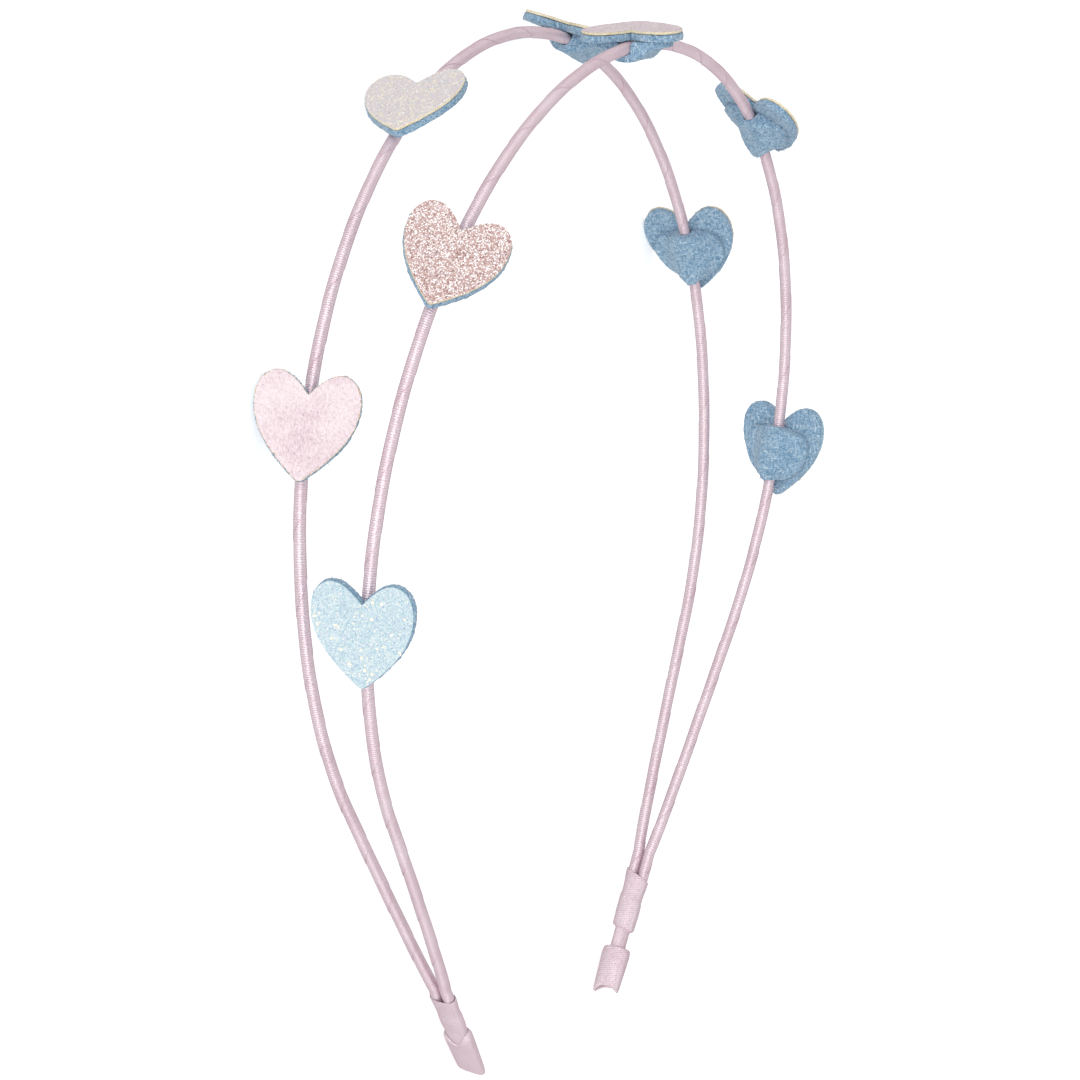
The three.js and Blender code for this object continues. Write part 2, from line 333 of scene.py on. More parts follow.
def feltCloth(name, look):
    material, tree, shader = newMaterial(name)
    here = ownPlace(tree)
    mottle = speckle(tree, here, look["mottleScale"], 4, 0.65)
    colour = tones(tree, mottle, look["tones"])
    threads = [drawnNoise(tree, here, stretch, [math.radians(t) for t in turn], detail=2, distortion=0.8)
               for turn, stretch in look["lines"]]
    lines, gaps = threads[0], threads[0]
    for thread in threads[1:]:
        lines = calc(tree, "MAXIMUM", lines, thread)
        gaps = calc(tree, "MINIMUM", gaps, thread)
    streak = rescaled(tree, lines, *look["fibreSpan"])
    # painted shade: the gaps between the fibres are darkened
    paintedPitShade = rescaled(tree, gaps, *look["paintedPitSpan"])
    colour = blended(tree, calc(tree, "MULTIPLY", paintedPitShade, look["share"]), colour, paint(*look["paintedPitShade"]))
    colour = blended(tree, calc(tree, "MULTIPLY", streak, look["share"]), colour, paint(*look["fibre"]))
    relief = calc(tree, "ADD", mottle, calc(tree, "MULTIPLY", streak, look["fibreRise"]))
    feed(tree, shader, {
        "Base Color": colour, "Normal": bumped(tree, relief, look), "Roughness": 0.95,
        "Specular IOR Level": 0.2, "Sheen Weight": 0.3, "Sheen Roughness": 0.5})
    return material


def fibreThread(name, stops):
    material, tree, shader = newMaterial(name)
    feed(tree, shader, {
        "Base Color": tones(tree, fromMesh(tree, "tone"), stops), "Roughness": 0.85, "Sheen Weight": 0.3})
    return material


def sheetBase(name, look):
    # the sheet under the glitter, or the plush cloth itself, with its pale cut edge
    material, tree, shader = newMaterial(name)
    here = ownPlace(tree)
    rim = fromMesh(tree, "rim")
    nap = drawnNoise(tree, here, look["napStretch"], sheetMarks["napTurn"], 4, 0.7, 0.5)
    colour = tones(tree, nap, look["tones"])
    specks = speckle(tree, here, sheetMarks["speckScale"], 2)
    if "paintedSheen" in look:
        # plush has paler clouds, which are painted sheen laid at random, and dark specks where it was cut
        cloud = speckle(tree, here, sheetMarks["cloudScale"], 2)
        paintedSheen = rescaled(tree, cloud, *sheetMarks["cloudSpan"], end=look["paintedSheen"])
        colour = blended(tree, paintedSheen, colour, paint(*look["paintedSheenTone"]))
        near = rescaled(tree, rim, *sheetMarks["speckSpan"])
        spot = calc(tree, "GREATER_THAN", calc(tree, "MULTIPLY", specks, near), look["speckLevel"])
        colour = blended(tree, spot, colour, paint(*look["speck"]))
    edge = tones(tree, specks, [(0.35, look["edgeDeep"]), (0.6, look["edge"])])
    colour = blended(tree, rescaled(tree, rim, *sheetMarks["sideSpan"]), colour, edge)
    feed(tree, shader, {
        "Base Color": colour, "Normal": bumped(tree, nap, look), "Roughness": look["roughness"],
        "Sheen Weight": look["sheen"], "Sheen Roughness": 0.4})
    return material


def glitterGrain(name, look):
    material, tree, shader = newMaterial(name)
    feed(tree, shader, {
        "Base Color": tones(tree, fromMesh(tree, "tone"), look["grains"], constant=True),
        "Metallic": look["metal"], "Roughness": 0.3, "Coat Weight": 0.5, "Coat Roughness": 0.12})
    return material


ribbonLook = {
    "ribPitch": 0.34,                         # mm between cross threads
    "drift": 1.1, "driftScale": 2300,         # how many pitches a rib wanders, and how often
    "tones": [(0.3, (228, 206, 214)), (0.5, (235, 216, 223)), (0.72, (241, 226, 232))], "cloudScale": 160,
    # the first colour here is the painted shade in the rib grooves, and shade is how much of it
    "groove": (194, 160, 176), "paintedGrooveSpan": (0.1, -1.0), "shade": 0.55,
    # the first colour here is the painted sheen on the threads
    "thread": (248, 238, 243), "paintedSheenSpan": (0.48, 0.75), "paintedSheenShare": 0.4, "strandStretch": (3.2, 16, 1),
    # the first colour here is the painted shade beside the lapping edge
    "paintedLapShade": (182, 150, 166), "seamWidth": 0.05, "seamShade": 0.35,
    "bump": 0.75, "depth": 0.00007, "ribShare": 0.5,
    "roughness": 0.42, "drawn": 0.85, "metal": 0.6, "specular": 0.3, "tint": (0.42, 0.26, 0.34),
}
# the tips' rib grooves take deeper painted shade
tipLook = {**ribbonLook, "ribPitch": 0.38, "dots": 30, "shade": 0.9, "bump": 0.8}
feltLook = {
    "tones": [(0.4, (96, 134, 165)), (0.5, (126, 162, 190)), (0.61, (155, 187, 211))], "mottleScale": 2400,
    # pit is the colour of the painted shade in the gaps between fibres
    "fibre": (206, 226, 238), "fibreSpan": (0.56, 0.7), "paintedPitShade": (80, 118, 150), "paintedPitSpan": (0.44, 0.3),
    "share": 0.75, "bump": 0.8, "depth": 0.00012, "fibreRise": 0.8,
    # the ways that fibres lie: degrees turned, and how fast they change along each axis
    "lines": [((0, 20, 35), (700, 4800, 4800)), ((40, 0, -50), (4800, 700, 4800)),
              ((10, 60, 80), (4800, 4800, 700))],
}
feltTones = [(0.0, (92, 131, 163)), (0.5, (147, 182, 207)), (1.0, (212, 230, 242))]
plushTones = [(0.0, (194, 171, 178)), (0.5, (218, 202, 207)), (1.0, (238, 227, 230))]
sheetMarks = {
    # spans of the rim mark, which is 1 at the outline and more on the cut side
    "speckSpan": (0.88, 1.0), "sideSpan": (1.1, 1.4), "speckScale": 4200,
    "cloudScale": 130, "cloudSpan": (0.4, 0.65), "napTurn": (0.4, 0.2, 0.5),
}
creamEdge = {"edge": (232, 225, 198), "edgeDeep": (206, 190, 152)}
glitterSheet = {"napStretch": (2600, 2600, 2600), "bump": 0.4, "depth": 0.00012, "roughness": 0.5,
                "sheen": 0.0, "metal": 0.0, "spacing": 0.17, "small": 0.1, "large": 0.15}
sheetLooks = {
    # spacing, small and large are in mm; glint is the tone above which a grain may be large; the palest
    # grain tones are painted glints
    "blue_glitter": {
        **glitterSheet, "edge": (166, 200, 215), "edgeDeep": (127, 166, 190),
        "tones": [(0.3, (170, 195, 204)), (0.5, (189, 208, 215)), (0.7, (203, 219, 223))],
        "large": 0.3, "glint": 0.965, "cluster": 0.2, "tilt": 0.26,
        "grains": [(0.0, (182, 203, 212)), (0.22, (203, 220, 224)), (0.42, (166, 192, 208)),
                   (0.54, (221, 229, 227)), (0.66, (201, 201, 222)), (0.77, (149, 177, 202)),
                   (0.86, (240, 237, 229)), (0.965, (249, 239, 221))],
    },
    "rose_glitter": {
        **glitterSheet, **creamEdge,
        "tones": [(0.3, (163, 126, 122)), (0.5, (191, 160, 156)), (0.7, (213, 189, 185))],
        "metal": 0.1, "spacing": 0.16, "glint": 0.54, "cluster": 0.15, "tilt": 0.4,
        "grains": [(0.0, (192, 160, 155)), (0.13, (214, 189, 184)), (0.24, (150, 111, 106)),
                   (0.35, (228, 208, 203)), (0.45, (242, 229, 225)), (0.53, (255, 254, 253)),
                   (0.97, (196, 191, 203))],
    },
    "white_glitter": {
        **glitterSheet, **creamEdge,
        "tones": [(0.3, (199, 191, 193)), (0.5, (215, 208, 209)), (0.7, (226, 220, 219))],
        "glint": 0.84, "cluster": 0.3, "tilt": 0.3,
        "grains": [(0.0, (213, 205, 207)), (0.3, (223, 216, 216)), (0.5, (200, 193, 197)),
                   (0.62, (228, 212, 215)), (0.74, (210, 218, 223)), (0.84, (246, 243, 236)),
                   (0.91, (244, 234, 200))],
    },
    "pink_satin": {
        **creamEdge, "napStretch": (5200, 1500, 4200), "bump": 0.9, "depth": 0.00012, "roughness": 0.6,
        # the haze is painted sheen, and pale is its colour
        "sheen": 0.25, "paintedSheen": 0.5, "paintedSheenTone": (238, 227, 229), "speckLevel": 0.53, "speck": (190, 150, 116),
        "tones": [(0.34, (194, 167, 175)), (0.5, (217, 198, 204)), (0.66, (233, 220, 224))],
    },
}
ribbonMaterial = ribbonSatin("palePinkRibbon", ribbonLook)
tipMaterial = ribbonSatin("palePinkTipRibbon", tipLook)
feltMaterial = feltCloth("blueFelt", feltLook)
fibreMaterial = fibreThread("blueFeltFibre", feltTones)
napMaterial = fibreThread("pinkNap", plushTones)
sheetMaterials = {key: sheetBase(key + "_sheet", look) for key, look in sheetLooks.items()}
grainMaterials = {key: glitterGrain(key + "_grain", look)
                  for key, look in sheetLooks.items() if "grains" in look}
print("finishes made:", len(bpy.data.materials))


# Rods: the wire's line in worn millimetres, and the ribbon wound along it

rods = {
    "back": {"side": 1, "bow": 0.975},
    "front": {"side": -1, "bow": 1.025},
}
tips = {
    # mm up the leg from its end
    "left": {"hand": -1, "mouth": 17.0, "rodEnd": 10.9, "neck": 10.2, "foot": 6.6, "tabTop": 8.7,
             "tabEnd": -0.6},
    "right": {"hand": 1, "mouth": 15.0, "rodEnd": 7.4, "neck": 6.4, "foot": 2.0, "tabTop": 3.0,
              "tabEnd": -4.4},
}
winding = {
    "radius": 0.92, "lap": 0.075, "pitch": 10.8, "sides": 26, "step": 0.34, "stations": 2401,
    "smoothAngle": 42,
    # inside the bindings the rods draw together and thin out
    "boundRadius": 0.6, "boundPitch": 1.32, "thinFrom": 0.0, "thinTo": 3.3,
}


def rodLine(side, bow, s):
    bent = np.minimum(np.abs(s), hoopArc) / arch["hoopRadius"]
    straight = np.maximum(np.abs(s) - hoopArc, 0)
    across = arch["hoopRadius"] * np.sin(bent) + straight * math.cos(hoopTurn)
    below = arch["hoopRadius"] * (1 - np.cos(bent)) + straight * math.sin(hoopTurn)
    up = archHeight - below
    rise = np.clip((up - arch["joinHeight"]) / (archHeight - arch["joinHeight"]), 0, 1)
    wide = 1 + (bow - 1) * np.minimum(2 * rise, 1)
    spread = (arch["crownSpread"] - arch["joinPitch"]) / 2
    apart = arch["joinPitch"] / 2 + spread * rise ** arch["spreadPower"]
    return np.stack([np.sign(s) * across * wide, side * apart, up], 1)


def rodPath(key):
    row = rods[key]
    line = rodLine(row["side"], row["bow"], np.linspace(-halfLine, halfLine, winding["stations"]))
    run = runAlong(line)
    keep = (run >= tips["left"]["rodEnd"]) & (run <= run[-1] - tips["right"]["rodEnd"])
    inside = np.maximum(tips["left"]["mouth"] - run, run - (run[-1] - tips["right"]["mouth"]))
    thin = smooth(inside, winding["thinFrom"], winding["thinTo"])
    line[:, 1] += row["side"] * thin * (winding["boundPitch"] - arch["joinPitch"]) / 2
    size = 1 + (winding["boundRadius"] / winding["radius"] - 1) * thin
    return placed(line[keep], lay), size[keep]


def windTree():
    tree, given, made = newTree("ribbonWinding", ["Radius", "Lap", "Pitch", "Step"], "Sides", ["Material"])
    line = geo(tree, "MeshToCurve", {"Mesh": given["Geometry"]})
    line = geo(tree, "ResampleCurve", {"Curve": line, "Length": given["Step"]}, mode="LENGTH")
    run = put(tree, "GeometryNodeSplineParameter").outputs["Length"]
    held = put(tree, "GeometryNodeCaptureAttribute", {"Geometry": line})
    held.capture_items.new("FLOAT", "along")
    held.capture_items.new("VECTOR", "axis")
    feed(tree, held, {1: run, 2: geo(tree, "InputTangent")})
    turns = calc(tree, "DIVIDE", run, given["Pitch"])
    twisted = geo(tree, "SetCurveTilt", {
        "Curve": held.outputs[0], "Tilt": calc(tree, "MULTIPLY", turns, fullTurn)})
    # the section is one turn of ribbon that ends a lap above its start
    spokes = geo(tree, "MeshLine", {"Count": calc(tree, "ADD", given["Sides"], 1.0)})
    share = calc(tree, "DIVIDE", geo(tree, "InputIndex"), given["Sides"])
    swing = calc(tree, "MULTIPLY", share, fullTurn)
    start = calc(tree, "SUBTRACT", given["Radius"], given["Lap"])
    reach = calc(tree, "ADD", start, calc(tree, "MULTIPLY", share, given["Lap"]))
    ring = [calc(tree, "MULTIPLY", reach, calc(tree, way, swing)) for way in ("COSINE", "SINE")]
    section = geo(tree, "SetPosition", {"Geometry": spokes, "Position": triple(tree, *ring)})
    section = geo(tree, "MeshToCurve", {"Mesh": section})
    section = geo(tree, "SetSplineCyclic", {"Geometry": section, "Cyclic": True})
    section = put(tree, "GeometryNodeCaptureAttribute", {"Geometry": section})
    section.capture_items.new("FLOAT", "around")
    feed(tree, section, {1: share})
    skin = geo(tree, "CurveToMesh", {
        "Curve": twisted, "Profile Curve": section.outputs[0], "Scale": marked(tree, "size"),
        "Fill Caps": True})
    wind = triple(tree, calc(tree, "MULTIPLY", held.outputs[1], 1 / mm), section.outputs[1])
    skin = withMark(tree, skin, "wind", wind, "FLOAT2", "CORNER")
    skin = withMark(tree, skin, "axis", held.outputs[2], "FLOAT_VECTOR")
    skin = geo(tree, "SetMaterial", {"Geometry": skin, "Material": given["Material"]})
    tree.links.new(skin, made.inputs[0])
    return tree


def makeRod(key, tree):
    points, size = rodPath(key)
    mesh = bpy.data.meshes.new("line")
    mesh.from_pydata(points.tolist(), [(i, i + 1) for i in range(len(points) - 1)], [])
    pointValue(mesh, "size", size)
    rod = runTree(newObject("line", mesh), tree, {
        "Radius": winding["radius"] * mm, "Lap": winding["lap"] * mm, "Pitch": winding["pitch"] * mm,
        "Sides": winding["sides"], "Step": winding["step"] * mm, "Material": ribbonMaterial},
        "wound_rod_" + key)
    outward(rod.data)
    tidyShade(rod.data, winding["smoothAngle"])
    return rod, points


# Hearts: each one's place is read from its felt node

heart = {
    "width": 14.6,
    "point": (0, -0.778),      # shares of the width, from the seat on the rod
    "flank": [(0.2535, -0.5845), (0.507, -0.324), (0.5, -0.014)],
    "lobe": [(0.5, 0.137), (0.4155, 0.2535), (0.2887, 0.2535)],
    "notch": [(0.183, 0.2535), (0.067, 0.134), (0, 0.053)],
    "middle": (0, -2.6),
    "curveSteps": 300, "columns": 136, "bluntColumns": 2.5, "bluntRounds": 3,
    # the cut wanders by so many waves round the outline, and this far in mm
    "waves": (3, 5, 9, 14), "wobble": 0.05, "phaseSpan": 6.3,
}
layers = {
    # low and high: mm out from the rod's middle; inset: in from the outline; edge: its rounding
    # ripple: waves of its surface; ragged: how rough its cut is
    "felt": {"low": 1.02, "high": 2.02, "inset": 0.0, "edge": 0.14, "ripple": 0.03, "ragged": 0.02},
    "glitter": {"low": 2.1, "high": 2.5, "inset": 0.1, "edge": 0.08, "ripple": 0.02, "ragged": 0.012},
}
layers["plush"] = {**layers["glitter"], "ragged": 0.035}
layerGrid = {
    "shares": [*np.linspace(0.05, 0.9, 10), 0.95, 0.98],      # of the way from the middle to the outline
    "roundSteps": 4, "sideHeights": (0.35, 0.65), "sideMark": 1.6, "cutMark": 1.2, "rippleRate": 1.1,
}
hearts = {
    # reach: how much of the patch's length is left, if not all; rise: mm that it is set up the rod
    "front_left_low": {"finish": "blue_glitter", "reach": 0.88},
    "back_left_low": {"finish": "pink_satin", "reach": 0.88},
    "front_left_high": {"finish": "rose_glitter", "reach": 0.8},
    "back_left_high": {"finish": "white_glitter", "reach": 0.58},
    "front_crown": {"finish": "pink_satin", "reach": 0.95, "rise": 2.2},
    "back_right_high": {"finish": "white_glitter"},
    "front_right_high": {"finish": "rose_glitter"},
    "back_right_low": {"finish": "pink_satin"},
    "front_right_low": {"finish": "blue_glitter"},
}


def nodePoints(name):
    return np.array([v.co for v in frame["nodes"][name].data.vertices])


def heartPlace(place):
    felt = nodePoints("heart_felt_" + place)
    centre = felt.mean(0)
    normal = np.linalg.svd(felt - centre)[2][2]
    if (nodePoints("heart_face_" + place).mean(0) - centre) @ normal < 0:
        normal = -normal
    flat = felt - centre - np.outer((felt - centre) @ normal, normal)
    far = np.argmax(np.linalg.norm(flat, axis=1))
    up = -unit(flat[far])
    # the point lies this far below the seat on the rod
    below = -heart["point"][1] * heart["width"] * mm
    origin = centre + flat[far] + up * below
    origin = origin + normal * (((felt - origin) @ normal).min() - layers["felt"]["low"] * mm)
    return origin, up, normal


def seatMatrix(origin, up, normal):
    up = unit(up - (up @ normal) * normal)
    matrix = np.eye(4)
    matrix[:3, :3] = np.stack([np.cross(up, normal), up, normal], 1) * mm
    matrix[:3, 3] = origin
    return Matrix(matrix.tolist())


def cubic(start, first, second, end):
    t = np.linspace(0, 1, heart["curveSteps"])[:, None]
    s = 1 - t
    return s ** 3 * start + 3 * t * s ** 2 * first + 3 * t ** 2 * s * second + t ** 3 * end


def heartOutline(count):
    half, start = [], np.array(heart["point"])
    for key in ("flank", "lobe", "notch"):
        first, second, end = (np.array(p) for p in heart[key])
        half.append(cubic(start, first, second, end))
        start = end
    half = np.concatenate(half) * heart["width"]
    run = runAlong(half)
    even = np.linspace(0, run[-1], count // 2 + 1)
    half = np.stack([np.interp(even, run, half[:, k]) for k in (0, 1)], 1)
    full = np.concatenate([half, half[-2:0:-1] * (-1, 1)])
    fromPoint = np.minimum(np.arange(count), count - np.arange(count))
    soft = np.exp(-(fromPoint / heart["bluntColumns"]) ** 2)[:, None]
    for _ in range(heart["bluntRounds"]):
        full += soft * 0.5 * ((np.roll(full, 1, 0) + np.roll(full, -1, 0)) / 2 - full)
    return full


outlinePoints = heartOutline(heart["columns"])
outlineNormals = np.roll(outlinePoints, -1, 0) - np.roll(outlinePoints, 1, 0)
outlineNormals = np.stack([outlineNormals[:, 1], -outlineNormals[:, 0]], 1)
outlineNormals /= np.linalg.norm(outlineNormals, axis=1)[:, None]
heartMiddle = np.array(heart["middle"])


def slabRows(low, high, edge):
    # share of the outline, step out from it, height and rim mark, from the back's middle to the front's
    shares = layerGrid["shares"]
    turns = np.linspace(0, math.pi / 2, layerGrid["roundSteps"])
    rows = [(s, 0.0, low, s) for s in shares]
    for a in turns:
        rows.append((1.0, -edge * (1 - math.sin(a)), low + edge * (1 - math.cos(a)), 1.0 + a / math.pi))
    for k in layerGrid["sideHeights"]:
        rows.append((1.0, 0.0, low + (high - low) * k, layerGrid["sideMark"]))
    for a in turns:
        rows.append((1.0, -edge * (1 - math.cos(a)), high - edge * (1 - math.sin(a)), 1.5 - a / math.pi))
    rows += [(s, 0.0, high, s) for s in shares[::-1]]
    return rows, len(shares) + 1


def slab(name, matrix, layer, seed, material):
    rng = np.random.default_rng(seed)
    low, high, ragged = layer["low"], layer["high"], layer["ragged"]
    count = len(outlinePoints)
    around = np.linspace(0, fullTurn, count, endpoint=False)
    phases = rng.uniform(0, heart["phaseSpan"], len(heart["waves"]))
    loose = sum(np.sin(k * around + p) / k for k, p in zip(heart["waves"], phases))
    cut = loose * heart["wobble"] + rng.normal(0, ragged, count) - layer["inset"]
    cut = outlinePoints + outlineNormals * cut[:, None]
    rows, topRows = slabRows(low, high, layer["edge"])
    points, rim, top = [], [], []
    for number, (share, out, height, mark) in enumerate(rows):
        ring = heartMiddle + (cut + outlineNormals * out - heartMiddle) * share
        lift = layer["ripple"] * wave(*(ring.T * layerGrid["rippleRate"]), seed + 3)
        if mark > layerGrid["cutMark"]:
            ring = ring + outlineNormals * rng.normal(0, ragged, count)[:, None]
        points.append(np.column_stack([ring, height + lift]))
        rim += [mark] * count
        top += [1.0 if number >= len(rows) - topRows else 0.0] * count
    faces = gridFaces(len(rows), count, True)
    points = np.concatenate(points)
    for first, height in ((0, low), ((len(rows) - 1) * count, high)):
        faces += fanFaces(len(points), first, count)
        points = np.concatenate([points, [[*heartMiddle, height]]])
        rim.append(0.0)
        top.append(1.0 if first else 0.0)
    mesh = meshFrom(name, placed(points, matrix), faces)
    pointValue(mesh, "rim", rim)
    pointValue(mesh, "top", top)
    mesh.materials.append(material)
    outward(mesh)
    return newObject(name, mesh)


# Grains and fibres

grain = {
    "crowd": 1.6, "sides": 5, "topRadius": 0.78, "depth": 0.5,
    "clusterScale": 420.0, "toneSeed": 19.0, "growthSeed": 7.0, "lastTone": 0.999,
}
fibre = {
    "start": (-0.5, 0, -0.05), "middle": (0.0, 0.26, 0.1), "end": (0.5, 0, -0.05), "steps": 3, "sides": 3,
    "roll": 0.3, "shortest": 0.5, "longest": 1.3, "sizeSeed": 5.0, "toneSeed": 11.0,
}


def turnedAtRandom(tree, spread, lean, seed):
    # leans this far about the surface's two axes, and turns any way round its normal
    back = [calc(tree, "MULTIPLY", value, -1.0) for value in lean]
    swing = randomSpan(tree, triple(tree, *back, 0.0), triple(tree, *lean, fullTurn), seed, "FLOAT_VECTOR")
    swing = put(tree, "FunctionNodeEulerToRotation", {0: swing}).outputs[0]
    return put(tree, "FunctionNodeRotateRotation", {
        "Rotation": spread.outputs["Rotation"], "Rotate By": swing}, rotation_space="LOCAL").outputs[0]


def seeded(tree, given, step, low=0.0, high=1.0):
    return randomSpan(tree, low, high, calc(tree, "ADD", given["Seed"], step))


def finishTree(tree, given, made, copies, finishes):
    # joins the copies to their base, makes them real and gives each its finish
    joined = put(tree, "GeometryNodeJoinGeometry")
    for geometry in (given["Geometry"], withMark(tree, copies, "loose", 1.0, domain="INSTANCE")):
        tree.links.new(geometry, joined.inputs[0])
    real = geo(tree, "RealizeInstances", {"Geometry": joined.outputs[0]})
    real = geo(tree, "SetMaterial", {"Geometry": real, "Material": given[finishes[0]]})
    loose = calc(tree, "GREATER_THAN", marked(tree, "loose"), 0.5)
    real = geo(tree, "SetMaterial", {"Geometry": real, "Selection": loose, "Material": given[finishes[1]]})
    tree.links.new(real, made.inputs[0])
    return tree


def grainTree():
    tree, given, made = newTree("glitterGrains", [
        "Spacing", "Small", "Large", "Glint", "Cluster", "Tilt"], "Seed", ["Sheet", "Grain"])
    square = calc(tree, "MULTIPLY", given["Spacing"], given["Spacing"])
    spread = put(tree, "GeometryNodeDistributePointsOnFaces", {
        "Mesh": given["Geometry"], "Selection": calc(tree, "GREATER_THAN", marked(tree, "top"), 0.5),
        "Distance Min": given["Spacing"], "Density Max": calc(tree, "DIVIDE", grain["crowd"], square),
        "Seed": given["Seed"]}, distribute_method="POISSON")
    chip = geo(tree, "MeshCone", {"Vertices": grain["sides"], "Radius Top": grain["topRadius"],
                                  "Radius Bottom": 1.0, "Depth": grain["depth"]})
    chip = geo(tree, "SetShadeSmooth", {"Geometry": chip, "Shade Smooth": False})
    turned = turnedAtRandom(tree, spread, (given["Tilt"], given["Tilt"]), given["Seed"])
    # the palest grains, which are painted glints, gather where a slow noise is high, and only they grow
    # large
    drift = put(tree, "ShaderNodeTexNoise", {"Scale": grain["clusterScale"], "Detail": 1.0}).outputs["Fac"]
    drift = calc(tree, "MULTIPLY", calc(tree, "SUBTRACT", drift, 0.5), given["Cluster"])
    tone = calc(tree, "ADD", seeded(tree, given, grain["toneSeed"]), drift)
    tone = calc(tree, "MINIMUM", calc(tree, "MAXIMUM", tone, 0.0), grain["lastTone"])
    toned = withMark(tree, spread.outputs["Points"], "tone", tone)
    paintedGlint = calc(tree, "GREATER_THAN", marked(tree, "tone"), given["Glint"])
    growth = seeded(tree, given, grain["growthSeed"])
    growth = calc(tree, "MULTIPLY", paintedGlint, calc(tree, "MULTIPLY", growth, growth))
    spare = calc(tree, "SUBTRACT", given["Large"], given["Small"])
    chips = geo(tree, "InstanceOnPoints", {
        "Points": toned, "Instance": chip, "Rotation": turned,
        "Scale": calc(tree, "MULTIPLY_ADD", growth, spare, given["Small"])})
    return finishTree(tree, given, made, chips, ("Sheet", "Grain"))


def fibreTree():
    tree, given, made = newTree("clothFibres", [
        "Count", "Length", "Thickness", "Lift", "TopOnly"], "Seed", ["Cloth", "Fibre"])
    chosen = calc(tree, "GREATER_THAN", marked(tree, "top"), given["TopOnly"])
    spread = put(tree, "GeometryNodeDistributePointsOnFaces", {
        "Mesh": given["Geometry"], "Selection": chosen, "Density": given["Count"], "Seed": given["Seed"]},
        distribute_method="RANDOM")
    bend = geo(tree, "CurveQuadraticBezier", {
        "Resolution": fibre["steps"], "Start": fibre["start"], "Middle": fibre["middle"],
        "End": fibre["end"]})
    thread = geo(tree, "CurvePrimitiveCircle", {"Resolution": fibre["sides"], "Radius": given["Thickness"]})
    hair = geo(tree, "CurveToMesh", {"Curve": bend, "Profile Curve": thread, "Fill Caps": True})
    turned = turnedAtRandom(tree, spread, (fibre["roll"], given["Lift"]), given["Seed"])
    size = seeded(tree, given, fibre["sizeSeed"], fibre["shortest"], fibre["longest"])
    hairs = geo(tree, "InstanceOnPoints", {
        "Points": spread.outputs["Points"], "Instance": hair, "Rotation": turned,
        "Scale": calc(tree, "MULTIPLY", given["Length"], size)})
    hairs = withMark(tree, hairs, "tone", seeded(tree, given, fibre["toneSeed"]), domain="INSTANCE")
    return finishTree(tree, given, made, hairs, ("Cloth", "Fibre"))


# Patch: a small felt piece inside the arch, humped over the rod and glued to the felt at both sides

patch = {
    # rows of mm down from the seat and half width
    "rows": [(0.3, 3.6), (0.8, 4.8), (1.9, 5.5), (3.4, 5.65),
             (4.9, 5.3), (6.3, 4.5), (7.5, 3.3), (8.3, 1.9)],
    "flat": 0.94, "crest": 1.05, "thickness": 0.85, "crestRise": 0.7, "crestFade": 3.0,
    "humpHalf": 4.6, "humpTop": 0.2, "groove": (0.98, 1.14), "across": 72, "down": 32,
    "crowding": 0.35,                        # draws columns out to the sides
    "wander": 0.06, "crease": 0.05, "edge": 0.16, "edgeTurn": 55,
    "stations": 110,                         # of the rod's line to each side of the seat
}


def softRows(rows, count):
    # a smooth curve through every row
    table = np.array(rows)
    table = np.concatenate([[2 * table[0] - table[1]], table, [2 * table[-1] - table[-2]]])
    made = []
    for place in np.linspace(0, len(rows) - 1, count):
        i = min(int(place), len(rows) - 2)
        t = place - i
        a, b, c, d = table[i:i + 4]
        bend, twist = 2 * a - 5 * b + 4 * c - d, 3 * b - a - 3 * c + d
        made.append(0.5 * (2 * b + (c - a) * t + bend * t ** 2 + twist * t ** 3))
    return np.array(made)


def borderOf(rows, columns):
    border = list(range(columns)) + [r * columns + columns - 1 for r in range(1, rows)]
    border += [(rows - 1) * columns + c for c in range(columns - 2, -1, -1)]
    return border + [r * columns for r in range(rows - 2, 0, -1)]


